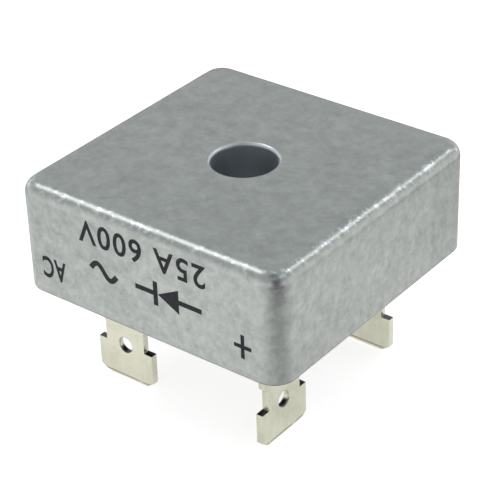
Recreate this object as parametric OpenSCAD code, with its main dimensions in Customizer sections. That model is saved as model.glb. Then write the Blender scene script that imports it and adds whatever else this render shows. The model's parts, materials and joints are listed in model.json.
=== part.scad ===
// Chassis-mount bridge rectifier: a square aluminium cup with a central screw hole, four diode
// dice on L-shaped copper straps, four push-on tabs and an epoxy filling.
// It stands on its four tab tips with the mounting face up. The origin is on the standing
// surface, on the axis of the screw hole. The marked side of the case faces -Y.

/* [Case] */
// Side of the square case
body_w = 28.6; // [27.6:0.1:34]
// Height of the case, from mounting face to rim
body_h = 10.75; // [9.6:0.05:13]
// Radius of the four upright corners
corner_r = 2.15; // [1.6:0.05:4]
// Radius of the edge round the mounting face
top_edge_r = 1.3; // [0.6:0.05:1.6]
// Radius of the outer edge of the rim
rim_edge_r = 0.15; // [0.1:0.05:0.5]
// Thickness of the mounting base
base_t = 2.6; // [2:0.1:3.2]
// Thickness of the side walls
wall_t = 1.3; // [0.8:0.05:1.5]

/* [Screw hole] */
// Diameter of the screw hole
bore_d = 6; // [4.4:0.05:6.2]
// Radius of the hole's edge at the mounting face
bore_edge_r = 0.4; // [0.2:0.05:0.7]
// Chamfer of the hole at the foot of the boss
bore_chamfer = 0.3; // [0.1:0.05:0.5]
// Wall of the boss round the screw hole
boss_wall = 1.6; // [1.2:0.1:1.8]
// How far the boss stops short of the rim
boss_recess = 0.2; // [0:0.05:0.4]

/* [Tabs] */
// Width of a push-on tab
tab_w = 6.35; // [4.75:0.05:6.5]
// Thickness of the tab strip
tab_t = 0.7; // [0.5:0.05:1]
// How far the tabs stand out past the rim
tab_out = 11.2; // [9.5:0.1:15]
// Width of the cut-off corners at the tip
tip_cut_w = 1.05; // [0.5:0.05:1.6]
// Height of the cut-off corners at the tip
tip_cut_h = 0.8; // [0.4:0.05:1.4]
// Depth of the lead-in bevel on each face at the tip
lead_in_t = 0.22; // [0.05:0.01:0.24]
// Height of the lead-in bevel
lead_in_h = 0.45; // [0.2:0.05:1]
// Diameter of the wire hole
wire_hole_d = 1.5; // [1:0.05:2]
// Bevel round the wire hole
wire_hole_bevel = 0.12; // [0.05:0.01:0.2]
// Height of the wire hole above the tip
wire_hole_up = 3.9; // [3:0.1:4.5]
// Height of the locking notches above the tip
notch_up = 3.85; // [3:0.05:5]
// Straight height of a notch
notch_h = 2; // [1:0.05:3]
// Depth of a notch
notch_d = 0.92; // [0.4:0.02:1]
// Height over which a notch runs out to the shoulder above it
notch_run_out = 0.45; // [0.2:0.05:1.2]
// How far the shoulders above the notches stand in from the blade's edges
shoulder_in = 0.45; // [0:0.05:0.6]

/* [Tab places] */
// Left AC tab: from the left side of the case to the tab's middle
left_tab_across = 6.5; // [6:0.05:7.8]
// Left AC tab: from the marked side of the case to the middle of the strip
left_tab_inset = 5.95; // [5:0.05:6.4]
// Plus tab: from the marked side of the case to the tab's middle
plus_tab_across = 7.45; // [6:0.05:7.6]
// Plus tab: from the right side of the case to the middle of the strip
plus_tab_inset = 5.6; // [5:0.05:6.4]
// Right AC tab: from the right side of the case to the tab's middle
right_tab_across = 7.8; // [6:0.05:8]
// Right AC tab: from the back of the case to the middle of the strip
right_tab_inset = 5.25; // [5:0.05:6.4]
// Minus tab: from the left side of the case to the tab's middle
minus_tab_across = 7.3; // [6:0.05:7.6]
// Minus tab: from the back of the case to the middle of the strip
minus_tab_inset = 5.55; // [5:0.05:6.4]

/* [Tab feet] */
// Inner radius of the bend between tab and foot
bend_r = 0.4; // [0.2:0.05:0.8]
// Width of the soldered foot
foot_w = 5; // [3.5:0.1:6]
// How far a foot stops short of the strap's outer edge
foot_margin = 0.4; // [0.2:0.05:1]
// Thickness of the solder under a foot
foot_solder_t = 0.15; // [0.05:0.01:0.2]
// How far the solder stays inside the foot's edges
foot_solder_inset = 0.15; // [0.05:0.05:0.3]

/* [Circuit] */
// Thickness of the ceramic insulator
insulator_t = 0.63; // [0.4:0.01:1]
// Gap between the insulator and the case
insulator_gap = 0.4; // [0.2:0.05:0.8]
// Width of a copper strap
strap_w = 6; // [5.6:0.1:6.2]
// Gap between a strap and the side walls
strap_gap = 1; // [0.9:0.05:1.2]
// Thickness of the straps next to the insulator
strap_t = 0.8; // [0.5:0.05:1]
// Thickness of the clips on the dice
clip_t = 0.6; // [0.3:0.05:0.8]
// Side of a square diode die
die_w = 5.4; // [3:0.1:5.5]
// How far the dice beside the plus and minus tabs sit from the middle of their side
die_shift = 1; // [0.6:0.1:1.4]
// Thickness of a diode die
die_t = 0.3; // [0.2:0.01:0.4]
// Thickness of the solder on each side of a die
solder_t = 0.1; // [0.05:0.01:0.15]

/* [Filling] */
// How far the epoxy stops short of the rim
potting_recess = 0.5; // [0.3:0.05:0.9]

/* [Hidden] */
$fn = 96;
// how far a cutter runs past the face it cuts
cut = 1;

// the case and what is on its axis
top_z = tab_out + body_h;
rim_z = tab_out;
base_z = top_z - base_t;
cavity_w = body_w - 2 * wall_t;
cavity_corner_r = max(corner_r - wall_t, 0.5);
bore_r = bore_d / 2;
boss_r = bore_r + boss_wall;
boss_z = rim_z + boss_recess;
potting_z = rim_z + potting_recess;

// the stack under the base, each value the lower face of its layer
insulator_z = base_z - insulator_t;
strap_z = insulator_z - strap_t;
strap_solder_z = strap_z - solder_t;
die_z = strap_solder_z - die_t;
clip_solder_z = die_z - solder_t;
clip_z = clip_solder_z - clip_t;

// the ring of straps runs along the side walls, with a die on each side
ring = cavity_w / 2 - strap_gap - strap_w / 2;
strap_edge = ring + strap_w / 2;

// turn about the screw hole that brings the front side to each side
front = 0;
right = 90;
back = 180;
left = 270;

// flat pieces of each arc in the bend of a tab
bend_steps = 8;

// ---- shared shapes ----

// upright section of the case: round at the top edge, slightly round at the rim
module case_section(w, h) {
    low = rim_edge_r;
    high = top_edge_r;
    translate([-w / 2, low]) square([w, h - low - high]);
    translate([-w / 2 + low, 0]) square([w - 2 * low, h - high]);
    translate([-w / 2 + high, 0]) square([w - 2 * high, h]);
    for (side = [-1, 1]) {
        translate([side * (w / 2 - low), low]) circle(r = low);
        translate([side * (w / 2 - high), h - high]) circle(r = high);
    }
}

// square block with round upright corners and a round top edge, standing on z = 0
module case_block() {
    run = body_w - 2 * corner_r;
    for (turn = [0, 90])
        rotate([90, 0, turn])
            linear_extrude(height = run, center = true) case_section(body_w, body_h);
    for (x = [-1, 1], y = [-1, 1])
        translate([x * run / 2, y * run / 2, 0])
            rotate_extrude()
                intersection() {
                    case_section(2 * corner_r, body_h);
                    square([corner_r, body_h]);
                }
}

// square slab with round corners, standing on z = 0
module slab(w, h, r) {
    translate([-w / 2, -w / 2 + r, 0]) cube([w, w - 2 * r, h]);
    translate([-w / 2 + r, -w / 2, 0]) cube([w - 2 * r, w, h]);
    for (x = [-1, 1], y = [-1, 1])
        translate([x * (w / 2 - r), y * (w / 2 - r), 0]) cylinder(r = r, h = h);
}

// the space inside the cup, round the boss, from the given height up to the base
module cavity(from_z) {
    difference() {
        translate([0, 0, from_z]) slab(cavity_w, base_z - from_z, cavity_corner_r);
        translate([0, 0, rim_z - cut]) cylinder(r = boss_r, h = base_z - rim_z + 2 * cut);
    }
}

// the tool that cuts the screw hole, with its round upper edge and its lower chamfer
module bore_tool() {
    translate([0, 0, rim_z - cut]) cylinder(r = bore_r, h = body_h + 2 * cut);
    translate([0, 0, top_z])
        rotate_extrude()
            difference() {
                translate([0, -bore_edge_r]) square([bore_r + bore_edge_r, bore_edge_r + cut]);
                translate([bore_r + bore_edge_r, -bore_edge_r]) circle(r = bore_edge_r);
            }
    translate([0, 0, boss_z - cut])
        cylinder(r1 = bore_r + bore_chamfer + cut, r2 = bore_r, h = bore_chamfer + cut);
}

// place of each side's die along its side, clear of the plus and minus tabs
function die_place(turn) = turn == right ? die_shift : turn == back ? -die_shift : 0;

// L-shaped strap from the die of one side, round the corner, to the die of the next side
module corner_strap(turn, z, t) {
    next = (turn + 90) % 360;
    start = die_place(turn) - strap_w / 2;
    end = die_place(next) + strap_w / 2;
    rotate([0, 0, turn]) {
        translate([start, -strap_edge, z]) cube([strap_edge - start, strap_w, t]);
        translate([ring - strap_w / 2, -strap_edge, z]) cube([strap_w, strap_edge + end, t]);
    }
}

// square pad under or over the die of a side
module side_pad(turn, z, t) {
    rotate([0, 0, turn])
        translate([die_place(turn) - die_w / 2, -ring - die_w / 2, z]) cube([die_w, die_w, t]);
}

// ---- tabs ----

// points of an arc about a centre
function arc(centre, r, from, to) = [
    for (i = [0 : bend_steps])
        let (a = from + (to - from) * i / bend_steps)
            centre + r * [cos(a), sin(a)]
];

// from the outer face of the strip to the end of the foot, which follows the strap's outer edge
function foot_reach(inset) = strap_edge - foot_margin - (body_w / 2 - inset) - tab_t / 2;

// face of a tab, tip at the bottom: cut corners, a notch on each edge, a shoulder, and a
// narrower foot on top
module tab_face(blade_h, h) {
    half = tab_w / 2;
    neck = half - notch_d;
    shoulder = half - shoulder_in;
    notch_top = notch_up + notch_h;
    shoulder_up = notch_top + notch_run_out;
    right_edge = [
        [half - tip_cut_w, 0], [half, tip_cut_h], [half, notch_up], [neck, notch_up],
        [neck, notch_top], [shoulder, shoulder_up], [shoulder, blade_h],
        [foot_w / 2, blade_h], [foot_w / 2, h]
    ];
    last = len(right_edge) - 1;
    left_edge = [for (i = [last : -1 : 0]) [-right_edge[i][0], right_edge[i][1]]];
    polygon(concat(right_edge, left_edge));
}

// edge of a tab: lead-in bevel at the tip, bend and foot at the top
module tab_edge(foot_z, reach) {
    half = tab_t / 2;
    out_r = bend_r + tab_t;
    centre = [half - out_r, foot_z - out_r];
    polygon(concat(
        [[-half + lead_in_t, 0], [half - lead_in_t, 0], [half, lead_in_h]],
        arc(centre, out_r, 0, 90),
        [[-half - reach, foot_z], [-half - reach, foot_z - tab_t]],
        arc(centre, bend_r, 90, 0),
        [[-half, lead_in_h]]
    ));
}

// the tool that cuts the wire hole, with a bevel on both faces
module wire_hole_tool() {
    translate([0, 0, wire_hole_up]) rotate([90, 0, 0]) {
        cylinder(d = wire_hole_d, h = tab_t + 2 * cut, center = true);
        for (face = [0, 180])
            rotate([face, 0, 0])
                translate([0, 0, tab_t / 2 - wire_hole_bevel])
                    cylinder(
                        r1 = wire_hole_d / 2,
                        r2 = wire_hole_d / 2 + wire_hole_bevel + cut,
                        h = wire_hole_bevel + cut
                    );
    }
}

// puts a tab, drawn at the origin along X, beside a side of the case
// turn: the side, end: -1 or 1 for the start or end of that side,
// across and inset: from the case's sides to the tab's middle
module tab_place(turn, end, across, inset) {
    rotate([0, 0, turn])
        translate([end * (body_w / 2 - across), -(body_w / 2 - inset), 0]) children();
}

// one tab with its bent foot, soldered to a strap whose lower face is at seat_z
module tab(turn, end, across, inset, seat_z) {
    foot_z = seat_z - foot_solder_t;
    reach = foot_reach(inset);
    color([0.80, 0.79, 0.72])
        tab_place(turn, end, across, inset)
            difference() {
                intersection() {
                    translate([0, tab_t / 2 + cut, 0])
                        rotate([90, 0, 0])
                            linear_extrude(height = reach + tab_t + 2 * cut)
                                tab_face(foot_z - tab_t - bend_r, foot_z + cut);
                    rotate([90, 0, 90])
                        linear_extrude(height = tab_w + 2 * cut, center = true)
                            tab_edge(foot_z, reach);
                }
                wire_hole_tool();
            }
}

// solder between a tab's foot and its strap; sink is how far it runs on into both,
// which the epoxy's mould uses
module foot_joint(turn, end, across, inset, seat_z, sink = 0) {
    long = foot_reach(inset) - bend_r - 2 * foot_solder_inset;
    wide = foot_w - 2 * foot_solder_inset;
    color([0.72, 0.73, 0.75])
        tab_place(turn, end, across, inset)
            translate([
                -wide / 2,
                -tab_t / 2 - bend_r - foot_solder_inset - long,
                seat_z - foot_solder_t - sink
            ])
                cube([wide, long, foot_solder_t + 2 * sink]);
}

// ---- the pieces ----

// aluminium cup with its boss and screw hole
module case() {
    color([0.69, 0.70, 0.68])
        difference() {
            translate([0, 0, rim_z]) case_block();
            cavity(rim_z - cut);
            translate([0, 0, rim_z - cut]) cylinder(r = boss_r, h = boss_recess + cut);
            bore_tool();
        }
}

// ceramic plate between the base and the straps
module insulator() {
    color([0.93, 0.93, 0.90])
        translate([0, 0, insulator_z])
            difference() {
                slab(cavity_w - 2 * insulator_gap, insulator_t, cavity_corner_r);
                translate([0, 0, -cut])
                    cylinder(r = boss_r + insulator_gap, h = insulator_t + 2 * cut);
            }
}

module positive_strap() { color([0.80, 0.50, 0.32]) corner_strap(front, strap_z, strap_t); }
module negative_strap() { color([0.80, 0.50, 0.32]) corner_strap(back, strap_z, strap_t); }
module right_ac_clip() { color([0.80, 0.50, 0.32]) corner_strap(right, clip_z, clip_t); }
module left_ac_clip() { color([0.80, 0.50, 0.32]) corner_strap(left, clip_z, clip_t); }

module die(turn) { color([0.30, 0.31, 0.34]) side_pad(turn, die_z, die_t); }
module strap_solder(turn) { color([0.72, 0.73, 0.75]) side_pad(turn, strap_solder_z, solder_t); }
module clip_solder(turn) { color([0.72, 0.73, 0.75]) side_pad(turn, clip_solder_z, solder_t); }

module left_ac_tab() { tab(front, -1, left_tab_across, left_tab_inset, clip_z); }
module plus_tab() { tab(right, -1, plus_tab_across, plus_tab_inset, strap_z); }
module right_ac_tab() { tab(back, -1, right_tab_across, right_tab_inset, clip_z); }
module minus_tab() { tab(back, 1, minus_tab_across, minus_tab_inset, strap_z); }

module left_ac_joint(sink = 0) {
    foot_joint(front, -1, left_tab_across, left_tab_inset, clip_z, sink);
}
module plus_joint(sink = 0) {
    foot_joint(right, -1, plus_tab_across, plus_tab_inset, strap_z, sink);
}
module right_ac_joint(sink = 0) {
    foot_joint(back, -1, right_tab_across, right_tab_inset, clip_z, sink);
}
module minus_joint(sink = 0) {
    foot_joint(back, 1, minus_tab_across, minus_tab_inset, strap_z, sink);
}

// the room that the circuit takes in the epoxy: each piece runs on into its neighbour,
// so that no film of epoxy is left between two pieces that touch
module circuit_room() {
    sink = min(clip_t, strap_t, tab_t) / 2;
    translate([0, 0, insulator_z])
        difference() {
            slab(cavity_w - 2 * insulator_gap, insulator_t + cut, cavity_corner_r);
            translate([0, 0, -cut])
                cylinder(r = boss_r + insulator_gap, h = insulator_t + 3 * cut);
        }
    for (turn = [front, back]) corner_strap(turn, strap_z, strap_t + insulator_t / 2);
    for (turn = [right, left]) corner_strap(turn, clip_z, clip_t);
    for (turn = [front, right, back, left])
        side_pad(turn, clip_z + clip_t / 2, strap_z + strap_t / 2 - clip_z - clip_t / 2);
    left_ac_tab();
    plus_tab();
    right_ac_tab();
    minus_tab();
    left_ac_joint(sink);
    plus_joint(sink);
    right_ac_joint(sink);
    minus_joint(sink);
}

// epoxy that fills the cup round the circuit
module potting() {
    color([0.16, 0.16, 0.17])
        difference() {
            cavity(potting_z);
            circuit_room();
        }
}

case();
potting();
insulator();
positive_strap();
negative_strap();
left_ac_clip();
right_ac_clip();
die(front);  // die_front
die(right);  // die_right
die(back);  // die_back
die(left);  // die_left
strap_solder(front);  // strap_solder_front
strap_solder(right);  // strap_solder_right
strap_solder(back);  // strap_solder_back
strap_solder(left);  // strap_solder_left
clip_solder(front);  // clip_solder_front
clip_solder(right);  // clip_solder_right
clip_solder(back);  // clip_solder_back
clip_solder(left);  // clip_solder_left
left_ac_tab();
right_ac_tab();
plus_tab();
minus_tab();
left_ac_joint();
right_ac_joint();
plus_joint();
minus_joint();
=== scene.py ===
"""Looks of the bridge rectifier: finishes, refined tabs, printed marks, floor, light and camera."""
import json
import math

import bmesh
import bpy
from mathutils import Matrix, Quaternion, Vector

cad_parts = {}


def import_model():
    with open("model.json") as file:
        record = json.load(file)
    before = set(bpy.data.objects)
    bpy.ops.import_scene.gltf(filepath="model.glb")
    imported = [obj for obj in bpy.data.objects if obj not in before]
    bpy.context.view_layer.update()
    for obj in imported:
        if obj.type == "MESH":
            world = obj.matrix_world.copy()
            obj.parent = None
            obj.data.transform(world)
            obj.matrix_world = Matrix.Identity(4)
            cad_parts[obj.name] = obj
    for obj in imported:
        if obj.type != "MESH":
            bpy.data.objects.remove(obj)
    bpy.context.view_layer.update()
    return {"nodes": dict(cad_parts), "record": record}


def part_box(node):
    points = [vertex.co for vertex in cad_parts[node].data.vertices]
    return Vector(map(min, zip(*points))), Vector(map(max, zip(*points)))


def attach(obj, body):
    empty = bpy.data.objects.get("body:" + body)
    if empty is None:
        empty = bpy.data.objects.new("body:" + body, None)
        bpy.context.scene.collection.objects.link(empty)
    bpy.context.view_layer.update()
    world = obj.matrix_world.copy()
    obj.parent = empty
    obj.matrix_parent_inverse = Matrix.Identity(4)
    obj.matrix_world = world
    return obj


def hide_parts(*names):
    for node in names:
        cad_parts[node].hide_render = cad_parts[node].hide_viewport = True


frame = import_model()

NODES = frame["nodes"]
BODY = "root"
MM = 0.001

# ---- places on the CAD model, from its boxes and its record ----
CASE_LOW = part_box("case")[0]
MARKED_FACE_Y = CASE_LOW.y
# height of the case's rim, radius of its screw hole and height of the painted shade line at the
# top of the pressed tips, in millimetres
RIM_UP = CASE_LOW.z / MM
BORE_R = next(m for m in frame["record"]["mounts"] if m["name"] == "screw_hole")["dims"]["r_mm"]
LEAD_IN_UP = 0.48

# ---- nodes that share a finish ----
TABS = ("left_ac_tab", "right_ac_tab", "plus_tab", "minus_tab")
STRAPS = ("positive_strap", "negative_strap", "left_ac_clip", "right_ac_clip")
DICE = ("die_front", "die_right", "die_back", "die_left")
JOINTS = ("left_ac_joint", "right_ac_joint", "plus_joint", "minus_joint")
SIDES = ("front", "right", "back", "left")
SOLDER_PADS = [f"{kind}_solder_{side}" for kind in ("strap", "clip") for side in SIDES]


# ---- node trees ----
class Finish:
    """A node tree, with short calls for what the finishes share. Lengths are in millimetres."""

    def __init__(self, name, owner=None):
        self.owner = owner or bpy.data.materials.new(name)
        self.owner.use_nodes = True
        self.tree = self.owner.node_tree
        self.tree.nodes.clear()

    def node(self, kind, inputs=(), **settings):
        """A new node with its settings and its inputs, which are values or other sockets."""
        made = self.tree.nodes.new("ShaderNode" + kind)
        for key, value in settings.items():
            setattr(made, key, value)
        for key, value in dict(inputs).items():
            self.put(made.inputs[key], value)
        return made

    def put(self, socket, value):
        if isinstance(value, bpy.types.NodeSocket):
            self.tree.links.new(value, socket)
        else:
            socket.default_value = value

    def place(self, stretch=(1, 1, 1), shift=(0, 0, 0)):
        """The point on the object in millimetres, each axis stretched and shifted."""
        point = self.node("TexCoord").outputs["Object"]
        scaled = self.node(
            "VectorMath", {0: point, 1: [s / MM for s in stretch]}, operation="MULTIPLY"
        )
        moved = self.node("VectorMath", {0: scaled.outputs[0], 1: shift}, operation="ADD")
        return moved.outputs[0]

    def noise(self, scale, detail=3.0, rough=0.6, stretch=(1, 1, 1), shift=(0, 0, 0), twist=0.0):
        """Noise from 0 to 1 with that many features per millimetre."""
        inputs = {
            "Vector": self.place(stretch, shift), "Scale": scale, "Detail": detail,
            "Roughness": rough, "Distortion": twist,
        }
        return self.node("TexNoise", inputs).outputs[0]

    def ramp(self, value, low, high, to_low=0.0, to_high=1.0):
        """A smooth step of value from low to high, mapped to to_low and to_high."""
        inputs = {
            "Value": value, "From Min": low, "From Max": high, "To Min": to_low, "To Max": to_high,
        }
        return self.node("MapRange", inputs, interpolation_type="SMOOTHSTEP").outputs[0]

    def maths(self, operation, a, b=0.0, clamp=False):
        return self.node("Math", {0: a, 1: b}, operation=operation, use_clamp=clamp).outputs[0]

    def both(self, a, b):
        """1 where a and b are both 1."""
        return self.maths("MULTIPLY", a, b)

    def total(self, *terms):
        """Sum of value times weight over the (value, weight) terms."""
        made = None
        for value, weight in terms:
            part = self.maths("MULTIPLY", value, weight)
            made = part if made is None else self.maths("ADD", made, part)
        return made

    def mix(self, factor, a, b):
        """Colour a at factor 0, colour b at 1."""
        made = self.node("Mix", {"Factor": factor}, data_type="RGBA")
        for socket, colour in zip([s for s in made.inputs if s.type == "RGBA"], (a, b)):
            self.put(socket, colour if isinstance(colour, bpy.types.NodeSocket) else (*colour, 1))
        return next(s for s in made.outputs if s.type == "RGBA")

    def bump(self, height, depth, normal=None, strength=1.0):
        """Bumps of that depth in millimetres where height is 1."""
        inputs = {"Height": height, "Distance": depth * MM, "Strength": strength}
        if normal is not None:
            inputs["Normal"] = normal
        return self.node("Bump", inputs).outputs[0]

    def facing_up(self):
        """1 on level tops, 0 on walls, -1 on undersides."""
        normal = self.node("NewGeometry").outputs["Normal"]
        return self.node("SeparateXYZ", {0: normal}).outputs[2]

    def height(self):
        """Height over the standing surface in millimetres."""
        return self.node("SeparateXYZ", {0: self.place()}).outputs[2]

    def from_axis(self):
        """Distance from the axis of the screw hole in millimetres."""
        level = self.place(stretch=(1, 1, 0))
        return self.node("VectorMath", {0: level}, operation="LENGTH").outputs["Value"]

    def swing(self, tone, gain):
        """A tone around 0.5 made stronger by gain, held within 0 and 1."""
        off = self.maths("SUBTRACT", tone, 0.5)
        return self.maths("ADD", self.maths("MULTIPLY", off, gain), 0.5, clamp=True)

    def surface(self, **inputs):
        """Ends the tree with a Principled surface, _ for each space in its inputs' names."""
        named = {key.replace("_", " "): value for key, value in inputs.items()}
        return self.finish(self.node("BsdfPrincipled", named).outputs[0])

    def finish(self, shader, world=False):
        """Ends the tree with that shader; returns the material or world."""
        end = self.node("OutputWorld" if world else "OutputMaterial")
        self.tree.links.new(shader, end.inputs["Surface"])
        return self.owner


# ---- finishes ----
def cast_aluminium():
    """Satin aluminium, tumbled after casting: speckled and cloudy, with edges lighter from wear and
    painted highlight, a dull bore darkened with painted shade and painted shade along the lower
    rim."""
    f = Finish("satin_aluminium")
    # the lightest grey lightens edge wear and the bore's lip, partly as a painted highlight
    dull, clean, wear_highlight_grey = (0.335, 0.355, 0.342), (0.575, 0.605, 0.573), (0.68, 0.70, 0.71)
    # the darkest grey is painted shade along the lower rim; the bluish grey is painted shade in the
    # bore
    rim_shade_grey, bore_shade_grey = (0.11, 0.12, 0.12), (0.37, 0.405, 0.43)

    # the casting's texture, from broad to fine
    cloud = f.noise(0.17, 3.0, 0.5)
    mottle = f.noise(0.8, 3.0, 0.55, shift=(7, 3, 1))
    speckle = f.noise(1.9, 2.0, 0.6, shift=(1, 6, 2))
    grain = f.noise(4.2, 2.0, 0.6, shift=(2, 9, 4))
    streak = f.noise(1.0, 3.0, 0.55, stretch=(1.3, 0.45, 0.5), shift=(0, 5, 2))

    # where the walls, the top edge with wear and painted highlight, the bore, its lip and the
    # painted shade along the lower rim are
    up = f.facing_up()
    wall = f.ramp(up, 0.7, 0.2)
    edge = f.both(f.ramp(up, 0.45, 0.72), f.ramp(up, 0.985, 0.93))
    nick = f.ramp(f.noise(1.7, 2.0, 0.6, shift=(3, 1, 8)), 0.50, 0.64)
    wear_and_highlight = f.both(edge, nick)
    off_axis = f.from_axis()
    # the bore's wall: rougher, and darker with painted shade
    bore = f.both(f.ramp(off_axis, BORE_R + 0.10, BORE_R + 0.02), wall)
    rounding = f.both(f.ramp(up, 0.05, 0.3), f.ramp(up, 0.97, 0.85))
    lip = f.both(f.ramp(off_axis, BORE_R + 0.45, BORE_R + 0.40), rounding)
    # painted shade in a broken band just over the lower rim
    low = f.ramp(f.height(), RIM_UP + 0.26, RIM_UP + 0.05)
    rim_shade = f.both(low, f.ramp(mottle, 0.36, 0.56, 0.25, 0.85))

    tone = f.total((cloud, 0.14), (mottle, 0.40), (speckle, 0.26), (grain, 0.14), (streak, 0.06))
    share = f.swing(tone, f.total((1.0, 2.3), (wall, 0.9)))
    grey = f.mix(share, dull, clean)
    # edge wear and the bore's lip are lighter: partly wear, partly painted highlight
    wear_highlit = f.mix(f.maths("MAXIMUM", wear_and_highlight, lip), grey, wear_highlight_grey)
    rim_shaded = f.mix(rim_shade, wear_highlit, rim_shade_grey)
    # painted shade in the bore
    colour = f.mix(bore, rim_shaded, bore_shade_grey)
    rough = f.total(
        (mottle, 0.08), (streak, 0.06), (1.0, 0.235), (wear_and_highlight, -0.03), (bore, 0.30), (lip, 0.02)
    )
    broad = f.bump(cloud, 0.05)
    middle = f.bump(f.total((mottle, 0.8), (streak, 0.2)), 0.022, broad)
    less_on_edge = f.total((1.0, 1.0), (edge, -0.65))
    fine = f.bump(f.total((speckle, 0.6), (grain, 0.4)), 0.0055, middle, less_on_edge)
    normal = f.bump(wear_and_highlight, 0.003, fine)
    return f.surface(Base_Color=colour, Metallic=1.0, Roughness=rough, Normal=normal)


def tin_plate():
    """Warm, slightly smeared tin plate on brass, with painted shade near the case and on the ledges
    that face up, and a line of painted shade where the tips are pressed thin."""
    f = Finish("tin_plated_brass")
    dull, clean, near_case_shade_colour = (0.71, 0.705, 0.565), (0.84, 0.835, 0.695), (0.51, 0.495, 0.36)
    # both dark colours are painted shade: a line over the pressed tips, and ledges that face up
    crease_shade_grey, ledge_shade_grey = (0.20, 0.19, 0.14), (0.12, 0.12, 0.13)
    cloud = f.noise(0.35, 3.0, 0.55)
    smear = f.noise(1.4, 3.0, 0.55, stretch=(1, 1, 0.3), shift=(4, 4, 0))
    grain = f.noise(5.0, 2.0, 0.55)
    tone = f.total((cloud, 0.55), (smear, 0.30), (grain, 0.15))
    plate = f.mix(f.ramp(tone, 0.36, 0.64), dull, clean)

    height = f.height()
    # a thin line of painted shade where the pressed tips begin, broken by the smear
    away = f.maths("ABSOLUTE", f.maths("SUBTRACT", height, LEAD_IN_UP))
    line = f.both(f.ramp(away, 0.14, 0.03), f.ramp(smear, 0.32, 0.5))
    crease_shaded = f.mix(f.maths("MULTIPLY", line, 0.8), plate, crease_shade_grey)
    # painted shade on the tabs just under the case, in blotches
    near_case = f.ramp(height, RIM_UP - 5.6, RIM_UP - 1.8)
    shaded_near_case = f.mix(f.both(near_case, f.ramp(cloud, 0.3, 0.6, 0.55, 1.0)), crease_shaded, near_case_shade_colour)
    # ledges that face up, under the case, get painted shade
    ledge = f.ramp(f.facing_up(), 0.35, 0.8)
    colour = f.mix(ledge, shaded_near_case, ledge_shade_grey)
    rough = f.total((cloud, 0.10), (smear, 0.10), (1.0, 0.19))
    broad = f.bump(f.total((cloud, 0.6), (smear, 0.4)), 0.016)
    normal = f.bump(grain, 0.0015, broad)
    return f.surface(Base_Color=colour, Metallic=1.0, Roughness=rough, Normal=normal)


def epoxy():
    """Cast black epoxy: nearly level, with soft waves and small pits."""
    f = Finish("black_epoxy")
    wave = f.noise(0.18, 3.0, 0.5)
    dust = f.noise(3.0, 4.0, 0.7)
    pit = f.ramp(f.noise(1.1, 1.0, 0.5, shift=(5, 2, 7)), 0.70, 0.78)
    colour = f.mix(f.ramp(dust, 0.4, 0.75), (0.012, 0.012, 0.013), (0.032, 0.031, 0.030))
    rough = f.total((dust, 0.25), (wave, 0.15), (1.0, 0.25))
    poured = f.bump(wave, 0.25)
    pitted = f.bump(pit, -0.05, poured)
    normal = f.bump(dust, 0.008, pitted)
    return f.surface(Base_Color=colour, Roughness=rough, Specular_IOR_Level=0.3, Normal=normal)


def bare_metal(name, dark, light, rough, scale=0.8):
    """Plain metal with clouds of tarnish, scale of them per millimetre."""
    f = Finish(name)
    cloud = f.noise(scale, 4.0, 0.6, twist=0.5)
    grain = f.noise(6 * scale, 3.0, 0.6)
    colour = f.mix(f.ramp(f.total((cloud, 0.7), (grain, 0.3)), 0.35, 0.65), dark, light)
    spread = f.total((cloud, 0.2), (1.0, rough))
    normal = f.bump(grain, 0.01)
    return f.surface(Base_Color=colour, Metallic=1.0, Roughness=spread, Normal=normal)


def ceramic(name, dark, light, rough, metal=0.0):
    """Fired or sawn plate with a fine grain."""
    f = Finish(name)
    grain = f.noise(5.0, 3.0, 0.6)
    colour = f.mix(f.ramp(grain, 0.35, 0.65), dark, light)
    spread = f.total((grain, 0.15), (1.0, rough))
    normal = f.bump(grain, 0.006)
    return f.surface(Base_Color=colour, Metallic=metal, Roughness=spread, Normal=normal)


def ink():
    """Stamped ink, thin in places."""
    f = Finish("marking_ink")
    cloud = f.noise(1.8, 4.0, 0.65)
    colour = f.mix(f.ramp(cloud, 0.45, 0.75), (0.009, 0.010, 0.015), (0.036, 0.039, 0.046))
    rough = f.total((cloud, 0.2), (1.0, 0.45))
    normal = f.bump(f.noise(7.0, 2.0), 0.006)
    return f.surface(Base_Color=colour, Roughness=rough, Specular_IOR_Level=0.3, Normal=normal)


# ---- pieces ----
EDGE_ROUNDING = 0.07 * MM
SAME_POINT = 0.0005 * MM
# two faces lie in one plane below the first angle, and meet in a stamped edge above the second
FLAT_ANGLE = math.radians(0.6)
EDGE_ANGLE = math.radians(24)


def dress(obj, material):
    """Gives an object its one material."""
    obj.data.materials.clear()
    obj.data.materials.append(material)


def show(name, data):
    """A new object of that mesh, curve, lamp or camera, in the scene."""
    obj = bpy.data.objects.new(name, data)
    bpy.context.scene.collection.objects.link(obj)
    return obj


def soft_edged_tab(node, material):
    """A copy of a CAD tab whose stamped edges are slightly rounded, in its place."""
    mesh = bpy.data.meshes.new(node + "_stamped")
    work = bmesh.new()
    work.from_mesh(NODES[node].data)
    bmesh.ops.remove_doubles(work, verts=work.verts, dist=SAME_POINT)
    bmesh.ops.dissolve_limit(work, angle_limit=FLAT_ANGLE, verts=work.verts, edges=work.edges)
    work.to_mesh(mesh)
    work.free()
    obj = show(node + "_stamped", mesh)
    bevel = obj.modifiers.new("stamped_edges", "BEVEL")
    bevel.width = EDGE_ROUNDING
    bevel.segments = 3
    bevel.limit_method = "ANGLE"
    bevel.angle_limit = EDGE_ANGLE
    bevel.use_clamp_overlap = True
    bevel.harden_normals = True
    for face in mesh.polygons:
        face.use_smooth = True
    dress(obj, material)
    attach(obj, BODY)
    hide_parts(node)


# ---- printed marks, in millimetres ----
INK_THICK = 0.012
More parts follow.
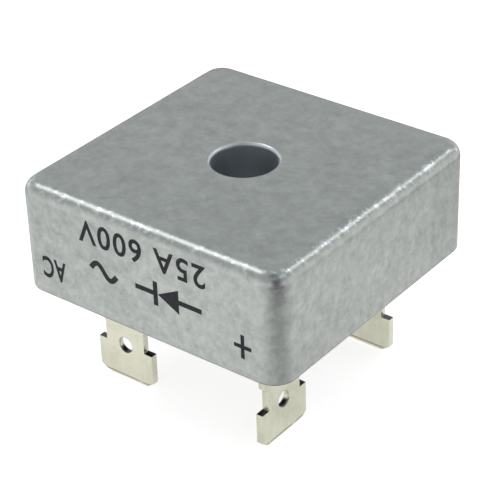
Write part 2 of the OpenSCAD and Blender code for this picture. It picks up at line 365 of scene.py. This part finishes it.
# turns what is drawn flat onto the marked side, which is printed upside down
FACE_TURN = Matrix(((-1, 0, 0), (0, 0, -1), (0, -1, 0))).to_4x4()


def print_on_case(name, mesh, across, over_rim, material):
    """Puts a mesh drawn flat round the origin on the marked side, that far across from its middle
    and over the case's rim."""
    spot = Vector((across * MM, MARKED_FACE_Y, (RIM_UP + over_rim) * MM))
    mesh.transform(Matrix.Translation(spot) @ FACE_TURN @ Matrix.Scale(MM, 4))
    mesh.update()
    obj = show(name, mesh)
    dress(obj, material)
    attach(obj, BODY)


def lettering(name, words, across, over_rim, height, width, bold, spacing, material):
    """Printed words centred on that place, of that letter height and overall width."""
    curve = bpy.data.curves.new(name, "FONT")
    curve.body = words
    curve.align_x = "CENTER"
    curve.extrude = INK_THICK / 2
    curve.offset = bold
    curve.space_character = spacing
    curve.resolution_u = 6
    source = show(name + "_source", curve)
    bpy.context.view_layer.update()
    shape = bpy.data.meshes.new_from_object(
        source.evaluated_get(bpy.context.evaluated_depsgraph_get())
    )
    bpy.data.objects.remove(source)
    points = [v.co for v in shape.vertices]
    low = Vector([min(p[k] for p in points) for k in range(3)])
    high = Vector([max(p[k] for p in points) for k in range(3)])
    size = high - low
    fit = Matrix.Diagonal((width / size.x, height / size.y, 1, 1))
    shape.transform(fit @ Matrix.Translation(-(low + high) / 2))
    print_on_case(name, shape, across, over_rim, material)


def symbol(name, outlines, across, over_rim, material):
    """Printed shapes from outlines, each one thin solid."""
    work = bmesh.new()
    for outline in outlines:
        lower = [work.verts.new((px, py, -INK_THICK / 2)) for px, py in outline]
        upper = [work.verts.new((px, py, INK_THICK / 2)) for px, py in outline]
        work.faces.new(reversed(lower))
        work.faces.new(upper)
        count = len(outline)
        for i in range(count):
            j = (i + 1) % count
            work.faces.new((lower[i], lower[j], upper[j], upper[i]))
    bmesh.ops.recalc_face_normals(work, faces=work.faces)
    mesh = bpy.data.meshes.new(name)
    work.to_mesh(mesh)
    work.free()
    print_on_case(name, mesh, across, over_rim, material)


def bar(x0, y0, x1, y1):
    """Outline of an upright rectangle."""
    return [(x0, y0), (x1, y0), (x1, y1), (x0, y1)]


def plus_outline(width, height, stroke):
    """Outline of a plus sign."""
    w, h, s = width / 2, height / 2, stroke / 2
    return [
        (-s, -h), (s, -h), (s, -s), (w, -s), (w, s), (s, s),
        (s, h), (-s, h), (-s, s), (-w, s), (-w, -s), (-s, -s),
    ]


def wave_outline(width, height, stroke, steps=24):
    """Outline of one period of a sine wave, drawn with a stroke of even thickness."""
    line = []
    for i in range(steps + 1):
        t = i / steps
        turn = 2 * math.pi * t
        slope = height / 2 * 2 * math.pi / width * math.cos(turn)
        along = Vector((1, slope)).normalized()
        aside = Vector((-along.y, along.x)) * stroke / 2
        point = Vector(((t - 0.5) * width, height / 2 * math.sin(turn)))
        line.append((point + aside, point - aside))
    return [tuple(a) for a, _ in line] + [tuple(b) for _, b in reversed(line)]


def diode_outlines(width, height, stroke):
    """Outlines of a diode symbol: lead, arrow head nearly as long as it is high, bar, lead."""
    head = height * 0.95
    tip = head / 2
    return [
        bar(-width / 2, -stroke / 2, -head / 2, stroke / 2),
        [(-head / 2, -height / 2), (tip, 0), (-head / 2, height / 2)],
        bar(tip, -height / 2, tip + stroke, height / 2),
        bar(tip + stroke, -stroke / 2, width / 2, stroke / 2),
    ]


# ---- studio, in metres and degrees ----
# the point that the lamps and the standing flags face
MIDDLE = Vector((0, 0, 14.3)) * MM
LAMP_DISTANCE = 0.40
FLAG_DISTANCE = 0.50
FLAG_OVER_FLOOR = 0.4 * MM
FLOOR_WIDTH = 3
WHITE = (1, 1, 1)
# what the world turns to overhead in reflections, from one height of direction to the other
OVERHEAD = (0.585, 0.606, 0.624)
OVERHEAD_FROM, OVERHEAD_TO = 0.15, 0.52
# strength of the world as light on the object, and of the floor in reflections and in plain view
WORLD_LIGHT = 0.55
FLOOR_GLOW = 0.50
FLOOR_GLOW_IN_VIEW = 0.24

# the camera's view, as in the photo; its distance, aim, lens and sensor are in millimetres
CAMERA_AZIMUTH = 38.479
CAMERA_ELEVATION = 31.828
CAMERA_ROLL = -1.8825
CAMERA_DISTANCE = 170.04
CAMERA_AIM = (0.18, 0.14, 12.56)
CAMERA_LENS = 135.44
CAMERA_SENSOR = 36
CAMERA_CLIP = (0.01, 10)


def direction(azimuth, elevation):
    """Unit vector from the object. Azimuth 0 is on the marked side, 90 on the right."""
    a, e = math.radians(azimuth), math.radians(elevation)
    return Vector((math.sin(a) * math.cos(e), -math.cos(a) * math.cos(e), math.sin(e)))


def camera():
    """The camera, at the photo's angle."""
    back = direction(CAMERA_AZIMUTH, CAMERA_ELEVATION)
    level = Vector((0, 0, 1)).cross(back).normalized()
    roll = math.radians(CAMERA_ROLL)
    right = level * math.cos(roll) + back.cross(level) * math.sin(roll)
    up = back.cross(right)
    place = Vector(CAMERA_AIM) * MM + back * CAMERA_DISTANCE * MM
    made = show("camera", bpy.data.cameras.new("camera"))
    made.matrix_world = Matrix.Translation(place) @ Matrix((right, up, back)).transposed().to_4x4()
    made.data.lens = CAMERA_LENS
    made.data.sensor_width = CAMERA_SENSOR
    made.data.clip_start, made.data.clip_end = CAMERA_CLIP
    bpy.context.scene.camera = made


def aim(obj, place, toward, turn=0.0):
    """Puts an object there with its Z axis along toward, and turned about that axis."""
    obj.location = place
    obj.rotation_mode = "QUATERNION"
    spin = Quaternion((0, 0, 1), math.radians(turn))
    obj.rotation_quaternion = toward.to_track_quat("Z", "Y") @ spin


def soft_box(name, azimuth, elevation, size, radiance):
    """Square lamp that faces the object."""
    toward = direction(azimuth, elevation)
    light = bpy.data.lights.new(name, "AREA")
    light.shape = "SQUARE"
    light.size = size
    light.energy = radiance * math.pi * size * size
    aim(show(name, light), MIDDLE + toward * LAMP_DISTANCE, toward)


def seen_ray(f):
    """1 for camera, glossy and transmission rays, 0 for others."""
    path = f.node("LightPath").outputs
    seen = f.maths("MAXIMUM", path["Is Camera Ray"], path["Is Glossy Ray"])
    return f.maths("MAXIMUM", seen, path["Is Transmission Ray"])


def world():
    """White in plain view, in reflections grey and a little blue overhead, and dim as light."""
    made = bpy.data.worlds.new("studio")
    bpy.context.scene.world = made
    f = Finish("studio", made)
    up = f.node("SeparateXYZ", {0: f.node("TexCoord").outputs["Generated"]}).outputs[2]
    mirrored = f.maths("SUBTRACT", 1.0, f.node("LightPath").outputs["Is Camera Ray"])
    overhead = f.both(f.ramp(up, OVERHEAD_FROM, OVERHEAD_TO), mirrored)
    tone = f.mix(overhead, WHITE, OVERHEAD)
    light = f.node("Background", {"Color": (*WHITE, 1), "Strength": WORLD_LIGHT}).outputs[0]
    seen = f.node("Background", {"Color": tone, "Strength": 1.0}).outputs[0]
    either = f.node("MixShader", {0: seen_ray(f), 1: light, 2: seen})
    f.finish(either.outputs[0], world=True)


def card(name, width, height):
    """Flat card round its own origin."""
    mesh = bpy.data.meshes.new(name)
    w, h = width / 2, height / 2
    mesh.from_pydata([(-w, -h, 0), (w, -h, 0), (w, h, 0), (-w, h, 0)], [], [(0, 1, 2, 3)])
    return show(name, mesh)


def floor():
    """Pale paper, clear from below, that takes the object's shadow."""
    obj = card("floor", FLOOR_WIDTH, FLOOR_WIDTH)
    f = Finish("white_floor")
    shade = f.mix(f.noise(0.6, 3.0), (0.86, 0.86, 0.86), (0.90, 0.90, 0.90))
    matt = f.node("BsdfDiffuse", {"Color": shade}).outputs[0]
    in_view = f.node("LightPath").outputs["Is Camera Ray"]
    strength = f.total((seen_ray(f), FLOOR_GLOW), (in_view, FLOOR_GLOW_IN_VIEW))
    glow = f.node("Emission", {"Color": (*WHITE, 1), "Strength": strength}).outputs[0]
    paper = f.node("AddShader", {0: matt, 1: glow}).outputs[0]
    below = f.node("NewGeometry").outputs["Backfacing"]
    clear = f.node("BsdfTransparent").outputs[0]
    either = f.node("MixShader", {0: below, 1: paper, 2: clear})
    obj.data.materials.append(f.finish(either.outputs[0]))


def flag(name, place, toward, width, height, keep, turn=0.0, core=0.35):
    """Round-edged card that dims what reflections show behind it to the colour keep, as a studio's
    grey flags do when standing, and as painted shade on the floor when lying on it: evenly over
    the core, a share of its size, and ever less from there to its rim.
    Only reflections see it."""
    obj = card(name, width, height)
    aim(obj, place, toward, turn)
    obj.visible_camera = False
    obj.visible_diffuse = False
    obj.visible_shadow = False
    f = Finish(name)
    point = f.node("TexCoord").outputs["Object"]
    to_rim = (2 / width, 2 / height, 0)
    scaled = f.node("VectorMath", {0: point, 1: to_rim}, operation="MULTIPLY").outputs[0]
    away = f.node("VectorMath", {0: scaled}, operation="LENGTH").outputs["Value"]
    through = f.mix(f.ramp(away, core, 1.0), keep, WHITE)
    obj.data.materials.append(f.finish(f.node("BsdfTransparent", {"Color": through}).outputs[0]))


def standing_flag(name, azimuth, elevation, width, height, keep):
    """Flag that faces the object."""
    toward = direction(azimuth, elevation)
    flag(name, MIDDLE + toward * FLAG_DISTANCE, toward, width, height, keep)


def floor_shade_sheet(name, azimuth, distance, wide, long, keep, core=0.35):
    """Flag just over the floor, long away from the object's axis: a sheet of painted shade on the
    floor, which only reflections see.
    """
    up = Vector((0, 0, 1))
    place = direction(azimuth, 0) * distance + up * FLAG_OVER_FLOOR
    flag(name, place, up, wide, long, keep, azimuth, core)


# ---- dress the CAD nodes ----
aluminium = cast_aluminium()
plate = tin_plate()
copper = bare_metal("copper_sheet", (0.50, 0.24, 0.13), (0.78, 0.42, 0.26), 0.25)
solder = bare_metal("solder", (0.42, 0.43, 0.45), (0.68, 0.69, 0.72), 0.20, scale=1.5)
silicon = ceramic("silicon_die", (0.06, 0.06, 0.07), (0.11, 0.11, 0.13), 0.15, metal=0.4)
alumina = ceramic("alumina_plate", (0.80, 0.80, 0.76), (0.90, 0.90, 0.87), 0.45)
black = epoxy()
marking = ink()

dress(NODES["case"], aluminium)
dress(NODES["potting"], black)
dress(NODES["insulator"], alumina)
for node in STRAPS:
    dress(NODES[node], copper)
for node in DICE:
    dress(NODES[node], silicon)
for node in (*JOINTS, *SOLDER_PADS):
    dress(NODES[node], solder)
for node in TABS:
    soft_edged_tab(node, plate)

# ---- print the marks ----
lettering(
    "rating_print", "25A 600V", across=-0.05, over_rim=8.3,
    height=2.3, width=13.9, bold=0.016, spacing=1.15, material=marking,
)
lettering(
    "ac_print", "AC", across=-10.3, over_rim=2.95,
    height=2.2, width=2.75, bold=0.024, spacing=1.1, material=marking,
)
symbol("plus_print", [plus_outline(1.8, 2.35, 0.38)], 10.55, 3.05, marking)
symbol("diode_print", diode_outlines(7.2, 2.4, 0.48), 2.75, 4.85, marking)
symbol("wave_print", [wave_outline(2.9, 1.3, 0.50)], -4.4, 4.85, marking)

# ---- set up the studio ----
floor()
world()
soft_box("key_light", azimuth=-77, elevation=57, size=0.14, radiance=2.2)
soft_box("back_light", azimuth=150, elevation=40, size=0.10, radiance=1.8)
standing_flag("front_flag", 55, 17, width=0.50, height=0.80, keep=(0.17, 0.16, 0.18))
standing_flag("high_flag", 42, 68, width=0.42, height=0.36, keep=(0.34, 0.34, 0.35))
# the sheets on the floor are painted shade round the object, seen only in reflections
floor_shade_sheet("corner_floor_shade", 56, 0.152, wide=0.15, long=0.306, keep=(0.21, 0.21, 0.22), core=0.5)
floor_shade_sheet("far_corner_floor_shade", 56, 0.35, wide=0.3, long=0.4, keep=(0.20, 0.20, 0.21), core=0.5)
floor_shade_sheet("right_floor_shade", 138, 0.072, wide=0.10, long=0.11, keep=(0.42, 0.42, 0.43))
floor_shade_sheet("left_floor_shade", -40, 0.062, wide=0.06, long=0.06, keep=(0.84, 0.84, 0.85))
floor_shade_sheet("back_floor_shade", 224, 0.115, wide=0.40, long=0.25, keep=(0.42, 0.42, 0.43))
standing_flag("back_flag", 218, 4, width=0.90, height=0.28, keep=(0.35, 0.35, 0.36))
camera()

bpy.context.scene.view_settings.view_transform = "Standard"
